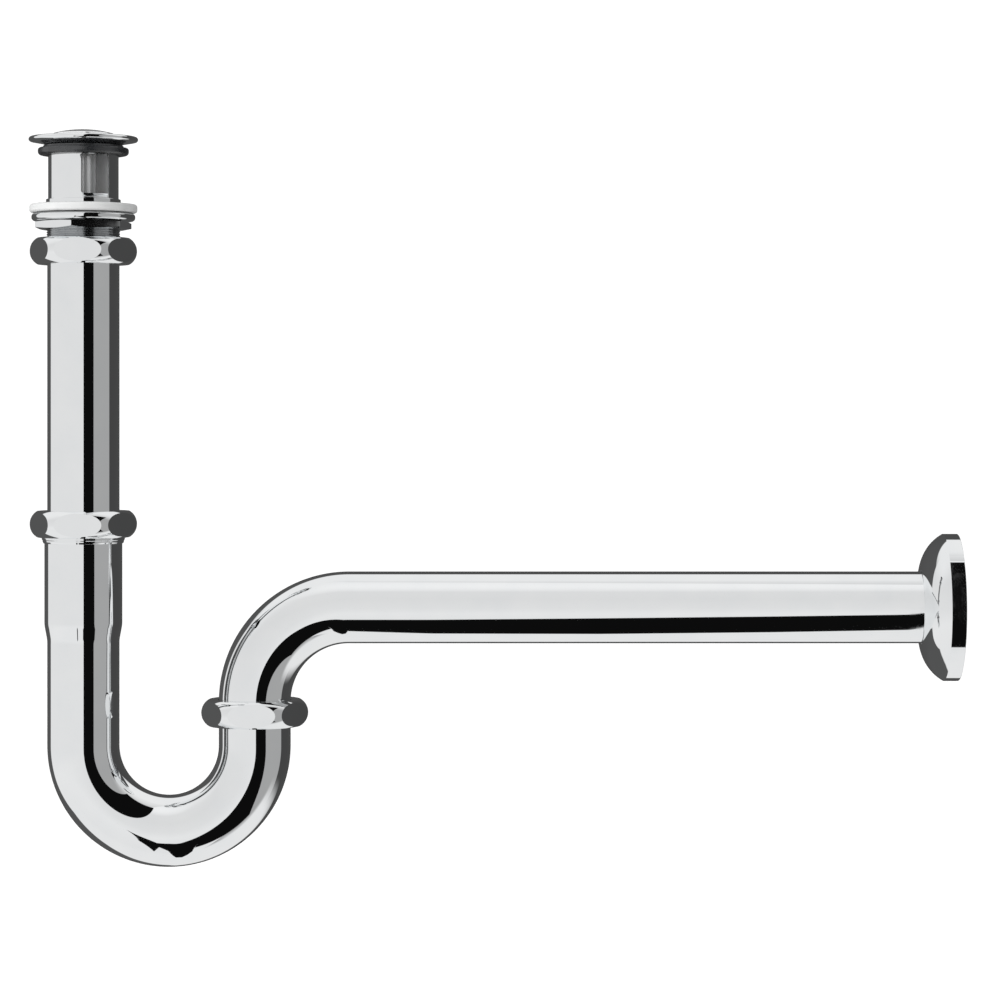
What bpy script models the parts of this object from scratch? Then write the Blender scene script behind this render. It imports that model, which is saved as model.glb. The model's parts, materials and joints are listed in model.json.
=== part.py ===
"""Chromed P trap for a wash basin: click waste, dip tube, U bend, outlet arm and wall flange.

The origin is on the waste's axis, where the basin gasket meets the flange. The U bend and the outlet
arm lie in the XZ plane, and the arm runs along +X to the wall.
"""

import math

import bmesh
import bpy
from mathutils import Matrix, Vector

GAP = 0.0003  # clearance between pieces that touch
SEGMENTS = 24  # facets around a turned piece
BEND_STEPS = 8  # facets along a quarter bend

# Tube: 1 1/2 in outside
TUBE_R = 0.01905
TUBE_BORE_R = 0.01785
SLEEVE_R = TUBE_R + GAP  # inside of whatever slides on the tube

# Layout
LEG_SPACING = 0.0910
U_CENTRE_Z = -0.3170
ARM_BEND_R = 0.0500
ARM_Z = -0.2439
WALL_X = 0.4640
LEG_X = LEG_SPACING
ARM_BEND_Z = ARM_Z - ARM_BEND_R

# Waste
RIM_R = 0.0289
RIM_Z = 0.0058
THROAT_R = 0.0210
THROAT_Z = 0.0036
NECK_R = 0.01975
STEM_R = 0.0186
STEM_BORE_R = 0.0171
COLLAR_R = 0.0197
COLLAR_TOP_Z = -0.0274
COLLAR_END_Z = -0.0297
THREAD_R = 0.01945
THREAD_ROOT_R = 0.01885
THREAD_PITCH = 0.00125
THREAD_TURNS = 19
THREAD_RUN_OUT = 0.0007
THREAD_END_Z = -0.0553
THREAD_SLEEVE_R = THREAD_R + 0.00035  # inside of whatever goes over the thread
TAIL_BORE_R = 0.0159
SPIGOT_R = 0.0174
SPIGOT_END_Z = -0.0745
LEDGE_Z = -0.0360
WINDOW_TOP_Z = -0.0043
WINDOW_END_Z = -0.0250
WINDOW_WIDTH = 0.0157
WINDOW_TURN = math.radians(28)

# Click plug
CAP_R = 0.0200
CAP_TOP_Z = 0.0098
CAP_DOME_R = 0.0600
CAP_CROWN_R = 0.0142
CAP_SHOULDER_R = 0.0164
CAP_SHOULDER_Z = 0.0062
CAP_EDGE_Z = 0.0044
CAP_UNDER_Z = 0.0032
BOSS_R = 0.0065
BOSS_END_Z = -0.0005
SOCKET_END_Z = 0.0055
PLUG_SEAL_R = 0.0189
PLUG_SEAL_END_Z = 0.0016
PLUG_STEM_R = 0.0040
PISTON_R = 0.0053
PISTON_TOP_Z = -0.0140
PISTON_END_Z = -0.0180
CARTRIDGE_R = 0.0070
CARTRIDGE_BORE_R = 0.0056
CARTRIDGE_TOP_Z = -0.0030
CARTRIDGE_LID_H = 0.0030
CARTRIDGE_FLOOR_Z = -0.0290
HUB_TOP_Z = -0.0317
HUB_END_Z = -0.0357
HUB_R = 0.0052
SPIDER_RIM_WALL = 0.0016
SPIDER_BAR_WIDTH = 0.0024
SPIDER_BAR_H = 0.0030
STUD_R = 0.0029
STUD_END_Z = -0.0405
CARTRIDGE_NUT_FLATS = 0.0100
CARTRIDGE_NUT_H = 0.0035
SPRING_R = 0.0044
SPRING_WIRE_R = 0.00045
SPRING_TURNS = 4
SPRING_STEPS = 10  # points in each turn

# Basin washers and lock nut, from the top down
UPPER_GASKET_R = 0.0241
UPPER_GASKET_H = 0.0040
GASKET_COLLAR_R = 0.0212
GASKET_COLLAR_H = 0.0011
LOWER_GASKET_R = 0.0286
LOWER_GASKET_TOP_Z = -0.0300
LOWER_GASKET_END_Z = -0.0345
PRESSURE_WASHER_R = 0.0275
PRESSURE_WASHER_END_Z = -0.0389
LOCK_NUT_FLATS = 0.0459
LOCK_NUT_END_Z = -0.0434
LOCK_NUT_CHAMFER = 0.0012
LOCK_NUT_TURN = math.radians(23)

# Slip nuts: a round bulge cut by six flats
NUT_HALF_H = 0.0070
NUT_FACE_R = 0.0240
NUT_BULGE_R = 0.0081
NUT_BULGE_CENTRE_R = 0.02025
NUT_FLATS = 0.0509
NUT_LIP = 0.0024
NUT_THREAD_R = 0.0229
COUPLING_Z = -0.05485
SLIP_Z = -0.1996
UNION_Z = -0.2996

# Seals and threaded rings inside the slip nuts
FERRULE_R = 0.0226
RING_R = 0.0225
SEAL_R = 0.0220
RING_H = 0.0006
SEAL_H = 0.0027
CONE_H = 0.0030
UNION_COLLAR_H = 0.0020
UNION_GASKET_H = 0.0021
UNION_GASKET_BORE_R = 0.0181

# Bell at the top of the U bend, and the dip tube inside it
BELL_R = 0.02055
BELL_BORE_R = SLEEVE_R
BELL_END_Z = -0.2530
TAPER_END_Z = -0.2612
BELL_STEP_R = 0.0219
BELL_STEP_END = 0.0020  # below the slip nut
BELL_FLARE_END = 0.0029
DIP_TUBE_TOP_Z = -0.0565
DIP_TUBE_END_Z = -0.2400

# Wall flange, measured forward from the wall
PLATE_R = 0.0390
PLATE_DOME_R = 0.0236
PLATE_DOME_CENTRE_R = 0.0185
PLATE_DOME_CENTRE = -0.0040
PLATE_HOLE_R = 0.0194
PLATE_LIP_R = 0.0205
PLATE_WALL = 0.0016
GRIP_RING_R = 0.0218
GRIP_RING_TOP = 0.0170

# Looks: base colour, metallic, roughness
CHROME = ("chrome", (0.83, 0.84, 0.85, 1), 1.0, 0.05)
STEEL = ("steel", (0.60, 0.60, 0.58, 1), 1.0, 0.25)
BRASS = ("brass", (0.72, 0.55, 0.28, 1), 1.0, 0.30)
BLACK_RUBBER = ("black_rubber", (0.03, 0.03, 0.032, 1), 0.0, 0.55)
WHITE_RUBBER = ("white_rubber", (0.82, 0.82, 0.80, 1), 0.0, 0.50)
WHITE_PLASTIC = ("white_plastic", (0.78, 0.78, 0.76, 1), 0.0, 0.40)


def clear_scene():
    for obj in list(bpy.data.objects):
        bpy.data.objects.remove(obj, do_unlink=True)


def paint(obj, look):
    """Gives the object a material of its own."""
    kind, colour, metallic, roughness = look
    material = bpy.data.materials.new(f"{obj.name}_{kind}")
    material.use_nodes = True
    shader = material.node_tree.nodes["Principled BSDF"]
    shader.inputs["Base Color"].default_value = colour
    shader.inputs["Metallic"].default_value = metallic
    shader.inputs["Roughness"].default_value = roughness
    material.diffuse_color = colour
    obj.data.materials.append(material)


def finish(name, mesh, pivot, look):
    """Links the mesh as an object with its origin at the pivot. A piece with no look is a helper."""
    mesh.transform(Matrix.Translation(-Vector(pivot)))
    obj = bpy.data.objects.new(name, mesh)
    obj.location = pivot
    bpy.context.collection.objects.link(obj)
    if look is None:
        obj.hide_render = True
        obj.display_type = "WIRE"
        return obj
    paint(obj, look)
    mesh.shade_smooth()
    mesh.set_sharp_from_angle(angle=math.radians(35))
    return obj


def mesh_of(bm, name):
    bmesh.ops.remove_doubles(bm, verts=bm.verts, dist=1e-6)
    bmesh.ops.recalc_face_normals(bm, faces=bm.faces)
    mesh = bpy.data.meshes.new(name)
    bm.to_mesh(mesh)
    bm.free()
    return mesh


def arc(centre_r, centre_z, radius, start, end, steps):
    """Outline points along an arc, with angles in degrees from the outward direction."""
    angles = [math.radians(start + (end - start) * i / steps) for i in range(steps + 1)]
    return [(centre_r + radius * math.cos(a), centre_z + radius * math.sin(a)) for a in angles]


def spin_outline(bm, outline, x=0.0):
    """Spins a line of (radius, z) points about the vertical line at x."""
    verts = [bm.verts.new((x + r, 0, z)) for r, z in outline]
    edges = [bm.edges.new(pair) for pair in zip(verts, verts[1:])]
    spin = dict(cent=(x, 0, 0), axis=(0, 0, 1), angle=math.tau, steps=SEGMENTS, use_merge=True)
    bmesh.ops.spin(bm, geom=verts + edges, **spin)


def turned(name, outline, look, pivot=(0, 0, 0)):
    """A solid of revolution about the vertical line through the pivot."""
    bm = bmesh.new()
    if outline[0][0] > 0:
        outline = outline + outline[:1]
    spin_outline(bm, outline, x=pivot[0])
    return finish(name, mesh_of(bm, name), pivot, look)


def ring(name, inner_r, outer_r, top_z, end_z, look, pivot=(0, 0, 0), edge=0.0004):
    """A flat ring with slightly broken outer edges."""
    outline = [
        (inner_r, top_z),
        (outer_r - edge, top_z),
        (outer_r, top_z - edge),
        (outer_r, end_z + edge),
        (outer_r - edge, end_z),
        (inner_r, end_z),
    ]
    return turned(name, outline, look, pivot)


def round_edged_ring(name, inner_r, outer_r, top_z, end_z, look):
    """A ring whose outer edge is a half circle."""
    radius = (top_z - end_z) / 2
    edge = arc(outer_r - radius, top_z - radius, radius, 90, -90, 5)
    return turned(name, [(inner_r, top_z)] + edge + [(inner_r, end_z)], look)


def edges_between(verts):
    chosen = set(verts)
    return sorted(
        {e for v in chosen for e in v.link_edges if e.other_vert(v) in chosen},
        key=lambda e: e.index,
    )


def verts_of(edges):
    return sorted({v for e in edges for v in e.verts}, key=lambda v: v.index)


def extrude(bm, edges, offset):
    """Draws edge loops out along the offset, and returns the loops at the far end."""
    bm.verts.index_update()
    bm.edges.index_update()
    made = bmesh.ops.extrude_edge_only(bm, edges=edges)["geom"]
    far = [v for v in made if isinstance(v, bmesh.types.BMVert)]
    bmesh.ops.translate(bm, verts=far, vec=offset)
    return edges_between(far)


def bend(bm, edges, centre, angle, steps):
    """Turns edge loops about a line along Y, and returns the loops at the far end."""
    bm.verts.index_update()
    bm.edges.index_update()
    turn = dict(cent=centre, axis=(0, 1, 0), angle=angle, steps=steps)
    made = bmesh.ops.spin(bm, geom=verts_of(edges) + edges, **turn)["geom_last"]
    return [e for e in made if isinstance(e, bmesh.types.BMEdge)]


def open_loops(bm):
    return [e for e in bm.edges if e.is_boundary]


def close_end(bm, edges):
    bmesh.ops.bridge_loops(bm, edges=edges)


def boolean(obj, operation, cutter):
    step = obj.modifiers.new(f"{operation.lower()}_{cutter.name}", "BOOLEAN")
    step.operation = operation
    step.solver = "EXACT"
    step.object = cutter


def block(name, size, centre, turn=0.0):
    """A helper block, turned about Z."""
    bm = bmesh.new()
    bmesh.ops.create_cube(bm, size=1.0, matrix=Matrix.Diagonal((*size, 1)))
    mesh = mesh_of(bm, name)
    mesh.transform(Matrix.Rotation(turn, 4, "Z"))
    mesh.transform(Matrix.Translation(centre))
    return finish(name, mesh, (0, 0, 0), None)


def plain_rod(name, radius, top_z, end_z):
    """A helper cylinder on the waste's axis."""
    return turned(name, [(0, top_z), (radius, top_z), (radius, end_z), (0, end_z)], None)


def hex_prism(name, across_flats, centre, height, turn=0.0, look=None):
    """A prism with a flat facing -Y when turn is 0."""
    bm = bmesh.new()
    corner_r = across_flats / 2 / math.cos(math.pi / 6)
    size = dict(segments=6, radius1=corner_r, radius2=corner_r, depth=height, cap_ends=True)
    spin = Matrix.Rotation(math.pi / 6 + turn, 4, "Z")
    bmesh.ops.create_cone(bm, matrix=Matrix.Translation(centre) @ spin, **size)
    return finish(name, mesh_of(bm, name), (0, 0, 0), look)


def thread_outline(top_z, turns, pitch, crest_r, root_r):
    """One root and one crest for each turn, from the top down."""
    points = []
    for i in range(turns):
        z = top_z - i * pitch
        points += [(root_r, z), (crest_r, z - pitch / 2)]
    return points + [(root_r, top_z - turns * pitch)]


def make_waste_body():
    """Flange, stem with two overflow windows, threaded tail and the spigot inside the dip tube."""
    thread_top_z = THREAD_END_Z + THREAD_TURNS * THREAD_PITCH + THREAD_RUN_OUT
    outline = [
        (RIM_R - 0.0021, RIM_Z - 0.0003),
        (RIM_R - 0.0014, RIM_Z),
        (RIM_R - 0.0005, RIM_Z - 0.0003),
        (RIM_R, RIM_Z - 0.0011),
        (RIM_R - 0.0002, RIM_Z - 0.0020),
        (RIM_R - 0.0009, RIM_Z - 0.0026),
        (NECK_R + 0.0018, 0.0021),
        (NECK_R + 0.0005, 0.0016),
        (NECK_R, 0.0009),
        (NECK_R, GAP),
        (STEM_R, GAP),
        (STEM_R, COLLAR_TOP_Z),
        (COLLAR_R - 0.0002, COLLAR_TOP_Z),
        (COLLAR_R, COLLAR_TOP_Z - 0.0002),
        (COLLAR_R, COLLAR_END_Z),
        (THREAD_ROOT_R, COLLAR_END_Z),
    ]
    outline += thread_outline(thread_top_z, THREAD_TURNS, THREAD_PITCH, THREAD_R, THREAD_ROOT_R)
    outline += [
        (THREAD_ROOT_R, THREAD_END_Z),
        (SPIGOT_R, THREAD_END_Z),
        (SPIGOT_R, SPIGOT_END_Z + 0.0005),
        (SPIGOT_R - 0.0004, SPIGOT_END_Z),
        (TAIL_BORE_R, SPIGOT_END_Z),
        (TAIL_BORE_R, LEDGE_Z),
        (STEM_BORE_R, LEDGE_Z),
        (STEM_BORE_R, -0.0010),
        (THROAT_R, THROAT_Z),
    ]
    body = turned("waste_body", outline, CHROME)
    reach = 4 * STEM_R
    size = (WINDOW_WIDTH, reach, WINDOW_TOP_Z - WINDOW_END_Z)
    middle = (0, 0, (WINDOW_TOP_Z + WINDOW_END_Z) / 2)
    boolean(body, "DIFFERENCE", block("overflow_cutter", size, middle, WINDOW_TURN))


def make_plug():
    """Domed cap with its seal, and the stem that slides in the click cartridge."""
    crown_angle = math.degrees(math.asin(CAP_CROWN_R / CAP_DOME_R))
    dome = arc(0, CAP_TOP_Z - CAP_DOME_R, CAP_DOME_R, 90, 90 - crown_angle, 4)
    dome[0] = (0, CAP_TOP_Z)
    crown_z = dome[-1][1]
    socket_r = PLUG_STEM_R + GAP
    cap = dome + [
        (CAP_CROWN_R + 0.0011, crown_z - 0.0005),
        (CAP_SHOULDER_R - 0.0003, CAP_SHOULDER_Z + 0.0006),
        (CAP_SHOULDER_R + 0.0005, CAP_SHOULDER_Z),
        (CAP_R, CAP_EDGE_Z),
        (CAP_R - 0.0004, CAP_UNDER_Z),
        (BOSS_R, CAP_UNDER_Z),
        (BOSS_R, BOSS_END_Z),
        (socket_r, BOSS_END_Z),
        (socket_r, SOCKET_END_Z),
        (0, SOCKET_END_Z),
    ]
    turned("plug_cap", cap, CHROME)
    seal = [
        (BOSS_R + GAP, CAP_UNDER_Z - GAP),
        (PLUG_SEAL_R, CAP_UNDER_Z - GAP),
        (PLUG_SEAL_R - GAP, PLUG_SEAL_END_Z),
        (BOSS_R + GAP, PLUG_SEAL_END_Z),
    ]
    turned("plug_seal", seal, BLACK_RUBBER)
    stem = [
        (0, SOCKET_END_Z - GAP),
        (PLUG_STEM_R, SOCKET_END_Z - GAP),
        (PLUG_STEM_R, PISTON_TOP_Z),
        (PISTON_R, PISTON_TOP_Z),
        (PISTON_R, PISTON_END_Z),
        (0, PISTON_END_Z),
    ]
    turned("plug_stem", stem, STEEL)


def make_cartridge():
    """Click cartridge: a barrel with a threaded stud below, bored for the plug's stem and piston."""
    guide_r = PLUG_STEM_R + GAP
    barrel_end_z = HUB_TOP_Z + GAP
    shoulder_z = CARTRIDGE_TOP_Z - CARTRIDGE_LID_H
    turned("click_cartridge", [
        (0, STUD_END_Z),
        (STUD_R, STUD_END_Z),
        (STUD_R, barrel_end_z),
        (CARTRIDGE_R, barrel_end_z),
        (CARTRIDGE_R, CARTRIDGE_TOP_Z - 0.0005),
        (CARTRIDGE_R - 0.0005, CARTRIDGE_TOP_Z),
        (guide_r, CARTRIDGE_TOP_Z),
        (guide_r, shoulder_z),
        (CARTRIDGE_BORE_R, shoulder_z),
        (CARTRIDGE_BORE_R, CARTRIDGE_FLOOR_Z),
        (0, CARTRIDGE_FLOOR_Z),
    ], STEEL)


def make_spider():
    """Rim, two cross bars and a hub that carry the cartridge inside the stem, and the nut below the hub."""
    rim_r = STEM_BORE_R - GAP
    rim_bore_r = rim_r - SPIDER_RIM_WALL
    spider = turned("cartridge_spider", [
        (rim_bore_r, HUB_TOP_Z),
        (rim_r, HUB_TOP_Z),
        (rim_r, HUB_END_Z),
        (rim_bore_r, HUB_END_Z),
    ], BRASS)
    middle = (0, 0, (HUB_TOP_Z + HUB_END_Z) / 2)
    for i in range(2):
        size = (2 * rim_r - SPIDER_RIM_WALL, SPIDER_BAR_WIDTH, SPIDER_BAR_H)
        boolean(spider, "UNION", block(f"spider_bar_{i}", size, middle, i * math.pi / 2))
    boolean(spider, "UNION", plain_rod("spider_hub", HUB_R, HUB_TOP_Z, HUB_END_Z))
    bore = plain_rod("stud_bore", STUD_R + GAP, HUB_TOP_Z + 0.0010, STUD_END_Z - 0.0010)
    boolean(spider, "DIFFERENCE", bore)

    middle = (0, 0, HUB_END_Z - GAP - CARTRIDGE_NUT_H / 2)
    nut = hex_prism("cartridge_nut", CARTRIDGE_NUT_FLATS, middle, CARTRIDGE_NUT_H, look=BRASS)
    boolean(nut, "DIFFERENCE", bore)


def make_spring():
    """Coil under the plug's piston."""
    low_z = CARTRIDGE_FLOOR_Z + GAP + SPRING_WIRE_R
    high_z = PISTON_END_Z - GAP - SPRING_WIRE_R
    curve = bpy.data.curves.new("plug_spring", "CURVE")
    curve.dimensions = "3D"
    curve.bevel_depth = SPRING_WIRE_R
    curve.bevel_resolution = 1
    curve.use_fill_caps = True
    spline = curve.splines.new("POLY")
    steps = SPRING_TURNS * SPRING_STEPS
    spline.points.add(steps)
    for i in range(steps + 1):
        turn = math.tau * i / SPRING_STEPS
        z = low_z + (high_z - low_z) * i / steps
        spline.points[i].co = (SPRING_R * math.cos(turn), SPRING_R * math.sin(turn), z, 1)
    spring = bpy.data.objects.new("plug_spring", curve)
    bpy.context.collection.objects.link(spring)
    paint(spring, STEEL)


def make_basin_washers():
    """Rubber above and below the basin, a round metal washer and the hexagonal lock nut."""
    radius = UPPER_GASKET_H / 2
    edge = arc(UPPER_GASKET_R - radius, -radius, radius, 90, -90, 5)
    turned("upper_gasket", [
        (STEM_R + GAP, 0),
        (NECK_R + GAP, 0),
        (NECK_R + GAP, GASKET_COLLAR_H),
        (GASKET_COLLAR_R, GASKET_COLLAR_H),
        (GASKET_COLLAR_R, 0),
    ] + edge + [(STEM_R + GAP, -UPPER_GASKET_H)], BLACK_RUBBER)
    bore_r = THREAD_SLEEVE_R
    top_z = LOWER_GASKET_TOP_Z
    round_edged_ring("lower_gasket", bore_r, LOWER_GASKET_R, top_z, LOWER_GASKET_END_Z, WHITE_RUBBER)
    top_z = LOWER_GASKET_END_Z - GAP
    end_z = PRESSURE_WASHER_END_Z
    round_edged_ring("pressure_washer", bore_r, PRESSURE_WASHER_R, top_z, end_z, CHROME)

    top_z = PRESSURE_WASHER_END_Z - GAP
    corner_r = LOCK_NUT_FLATS / 2 / math.cos(math.pi / 6)
    blank = turned("lock_nut", [
        (bore_r, top_z),
        (corner_r + 0.001, top_z),
        (corner_r + 0.001, LOCK_NUT_END_Z + LOCK_NUT_CHAMFER + 0.0005),
        (LOCK_NUT_FLATS / 2 - 0.0008, LOCK_NUT_END_Z),
        (bore_r, LOCK_NUT_END_Z),
    ], CHROME)
    middle = (0, 0, (top_z + LOCK_NUT_END_Z) / 2)
    prism = hex_prism("lock_nut_flats", LOCK_NUT_FLATS, middle, 0.02, LOCK_NUT_TURN)
    boolean(blank, "INTERSECT", prism)


def make_slip_nut(name, middle_z, x, inside):
    """A bulged round nut with six flats; inside is its bore outline from the top down."""
    half_angle = math.degrees(math.asin(NUT_HALF_H / NUT_BULGE_R))
    bulge = arc(NUT_BULGE_CENTRE_R, middle_z, NUT_BULGE_R, half_angle, -half_angle, 6)
    top_z = middle_z + NUT_HALF_H
    end_z = middle_z - NUT_HALF_H
    outline = [(NUT_FACE_R, top_z)] + bulge + [(NUT_FACE_R, end_z)] + inside[::-1]
    nut = turned(name, outline, CHROME, (x, 0, middle_z))
    boolean(nut, "INTERSECT", hex_prism(f"{name}_flats", NUT_FLATS, (x, 0, middle_z), 0.03))


def make_coupling():
    """Nut, washer and seal that hang the dip tube under the waste's thread."""
    top_z = COUPLING_Z + NUT_HALF_H
    end_z = COUPLING_Z - NUT_HALF_H
    groove_z = THREAD_END_Z
    groove_r = SEAL_R + 0.0004
    make_slip_nut("coupling_nut", COUPLING_Z, 0, [
        (THREAD_SLEEVE_R, top_z),
        (THREAD_SLEEVE_R, groove_z),
        (groove_r, groove_z),
        (groove_r, end_z + NUT_LIP),
        (SLEEVE_R + 0.0001, end_z + NUT_LIP),
        (SLEEVE_R + 0.0001, end_z),
    ])
    ring_top_z = THREAD_END_Z - GAP
    ring_end_z = DIP_TUBE_TOP_Z + GAP
    ring("coupling_washer", SPIGOT_R + GAP, SEAL_R, ring_top_z, ring_end_z, STEEL, edge=0.0001)
    seal_end_z = DIP_TUBE_TOP_Z - SEAL_H
    ring("coupling_seal", SLEEVE_R, SEAL_R, DIP_TUBE_TOP_Z, seal_end_z, BLACK_RUBBER)


def make_dip_tube():
    wall = [
        (TUBE_BORE_R, DIP_TUBE_TOP_Z),
        (TUBE_R, DIP_TUBE_TOP_Z),
        (TUBE_R, DIP_TUBE_END_Z),
        (TUBE_BORE_R, DIP_TUBE_END_Z),
    ]
    turned("dip_tube", wall, CHROME)


def closed_lip_inside(middle_z):
    """Bore of a slip nut with its lip at the top and its thread below."""
    top_z = middle_z + NUT_HALF_H
    return [
        (SLEEVE_R + 0.0001, top_z),
        (SLEEVE_R + 0.0001, top_z - NUT_LIP),
        (NUT_THREAD_R, top_z - NUT_LIP),
        (NUT_THREAD_R, middle_z - NUT_HALF_H),
    ]


def make_slip_joint():
    """Nut, friction ring and cone seal that hold the U bend's bell on the dip tube."""
    make_slip_nut("slip_nut", SLIP_Z, 0, closed_lip_inside(SLIP_Z))
    ring_top_z = SLIP_Z + NUT_HALF_H - NUT_LIP - GAP
    ring_end_z = ring_top_z - RING_H
    ring("slip_ring", SLEEVE_R, RING_R, ring_top_z, ring_end_z, WHITE_PLASTIC, edge=0.0001)
    seal_top_z = ring_end_z - GAP
    seal_end_z = seal_top_z - CONE_H
    turned("slip_seal", [
        (SLEEVE_R, seal_top_z),
        (SEAL_R, seal_top_z),
        (SEAL_R, seal_top_z - CONE_H / 2),
        (BELL_R, seal_end_z),
        (SLEEVE_R, seal_end_z),
    ], BLACK_RUBBER)
    return seal_end_z - GAP


def make_trap_bend(bell_top_z, leg_top_z):
    """Bell, taper, U bend and short leg in one piece of tube."""
    bm = bmesh.new()
    spin_outline(bm, [
        (TUBE_BORE_R, U_CENTRE_Z),
        (TUBE_BORE_R, TAPER_END_Z),
        (BELL_BORE_R, BELL_END_Z),
        (BELL_BORE_R, bell_top_z),
        (BELL_R, bell_top_z),
        (BELL_R, BELL_END_Z),
        (TUBE_R, TAPER_END_Z),
        (TUBE_R, U_CENTRE_Z),
    ])
    bmesh.ops.remove_doubles(bm, verts=bm.verts, dist=1e-6)
    loops = open_loops(bm)
    loops = bend(bm, loops, (LEG_X / 2, 0, U_CENTRE_Z), -math.pi, 2 * BEND_STEPS)
    loops = extrude(bm, loops, (0, 0, leg_top_z - U_CENTRE_Z))
    close_end(bm, loops)
    finish("trap_bend", mesh_of(bm, "trap_bend"), (0, 0, U_CENTRE_Z), CHROME)

    flare_z = SLIP_Z - NUT_HALF_H - GAP
    turned("bell_ferrule", [
        (BELL_R + GAP, bell_top_z),
        (FERRULE_R, bell_top_z),
        (FERRULE_R, flare_z),
        (BELL_STEP_R, flare_z),
        (BELL_STEP_R, flare_z - BELL_STEP_END / 2),
        (BELL_STEP_R - 0.0004, flare_z - BELL_STEP_END / 2 - GAP),
        (BELL_STEP_R - 0.0004, flare_z - BELL_STEP_END),
        (BELL_R + GAP + 0.0002, flare_z - BELL_FLARE_END),
        (BELL_R + GAP, flare_z - BELL_FLARE_END),
    ], CHROME)


def make_union():
    """Nut, collar, flat gasket and threaded ring between the U bend and the outlet arm."""
    pivot = (LEG_X, 0, UNION_Z)
    make_slip_nut("union_nut", UNION_Z, LEG_X, closed_lip_inside(UNION_Z))
    collar_top_z = UNION_Z + NUT_HALF_H - NUT_LIP - GAP
    collar_end_z = collar_top_z - UNION_COLLAR_H
    ring("union_collar", SLEEVE_R, RING_R, collar_top_z, collar_end_z, CHROME, pivot)
    gasket_top_z = collar_end_z - GAP
    gasket_end_z = gasket_top_z - UNION_GASKET_H
    ring("union_gasket", UNION_GASKET_BORE_R, SEAL_R, gasket_top_z, gasket_end_z, BLACK_RUBBER, pivot)
    leg_top_z = gasket_end_z - GAP
    ferrule_end_z = UNION_Z - NUT_HALF_H + GAP
    ring("union_ferrule", SLEEVE_R, FERRULE_R, leg_top_z, ferrule_end_z, CHROME, pivot)
    return collar_end_z, leg_top_z


def make_outlet_arm(end_z):
    """Quarter bend and long straight tube to the wall."""
    bm = bmesh.new()
    spin_outline(bm, [
        (TUBE_BORE_R, ARM_BEND_Z),
        (TUBE_BORE_R, end_z),
        (TUBE_R, end_z),
        (TUBE_R, ARM_BEND_Z),
    ], x=LEG_X)
    bmesh.ops.remove_doubles(bm, verts=bm.verts, dist=1e-6)
    loops = open_loops(bm)
    loops = bend(bm, loops, (LEG_X + ARM_BEND_R, 0, ARM_BEND_Z), math.pi / 2, BEND_STEPS)
    loops = extrude(bm, loops, (WALL_X - GAP - LEG_X - ARM_BEND_R, 0, 0))
    close_end(bm, loops)
    finish("outlet_arm", mesh_of(bm, "outlet_arm"), (LEG_X, 0, ARM_Z), CHROME)


def plate_outline(inset):
    """The wall flange's dome from the rim inwards, as (radius, distance from the wall)."""
    radius = PLATE_DOME_R - inset
    rim_angle = math.degrees(math.acos((PLATE_R - inset - PLATE_DOME_CENTRE_R) / radius))
    lip_angle = math.degrees(math.acos((PLATE_LIP_R - PLATE_DOME_CENTRE_R) / radius))
    return arc(PLATE_DOME_CENTRE_R, PLATE_DOME_CENTRE, radius, rim_angle, lip_angle, 7)


def make_wall_flange():
    """Domed cover plate that slides on the arm, and the rubber ring that grips the tube."""
    outside = plate_outline(0)
    inside = plate_outline(PLATE_WALL)
    lip_front = outside[-1][1]
    outline = [(PLATE_R, 0)] + outside + [
        (PLATE_HOLE_R, lip_front),
        (PLATE_HOLE_R, lip_front - PLATE_WALL),
    ]
    outline += inside[::-1] + [(PLATE_R - PLATE_WALL, 0)]
    plate = turned("wall_flange", outline, CHROME)
    middle_r = (SLEEVE_R + GRIP_RING_R) / 2
    radius = (GRIP_RING_R - SLEEVE_R) / 2
    grip = turned("flange_grip_ring", arc(middle_r, GRIP_RING_TOP - radius, radius, 0, 315, 7), BLACK_RUBBER)
    for piece in (plate, grip):
        piece.rotation_euler = (0, -math.pi / 2, 0)
        piece.location = (WALL_X, 0, ARM_Z)


clear_scene()
make_waste_body()
make_plug()
make_cartridge()
make_spider()
make_spring()
make_basin_washers()
make_coupling()
make_dip_tube()
bell_top_z = make_slip_joint()
arm_end_z, leg_top_z = make_union()
make_trap_bend(bell_top_z, leg_top_z)
make_outlet_arm(arm_end_z)
make_wall_flange()
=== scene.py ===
"""Chromed P trap for a wash basin: the pieces that show, their materials, the studio and the camera.

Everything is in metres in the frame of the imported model. The origin is on the waste's axis under its
flange, +Z is up and the outlet arm runs along +X to the wall. Each piece is a closed solid with the
edges rounded, built from an outline of (radius, distance along its path) points.
"""

import json
import math

import bpy
from mathutils import Matrix, Vector


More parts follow.
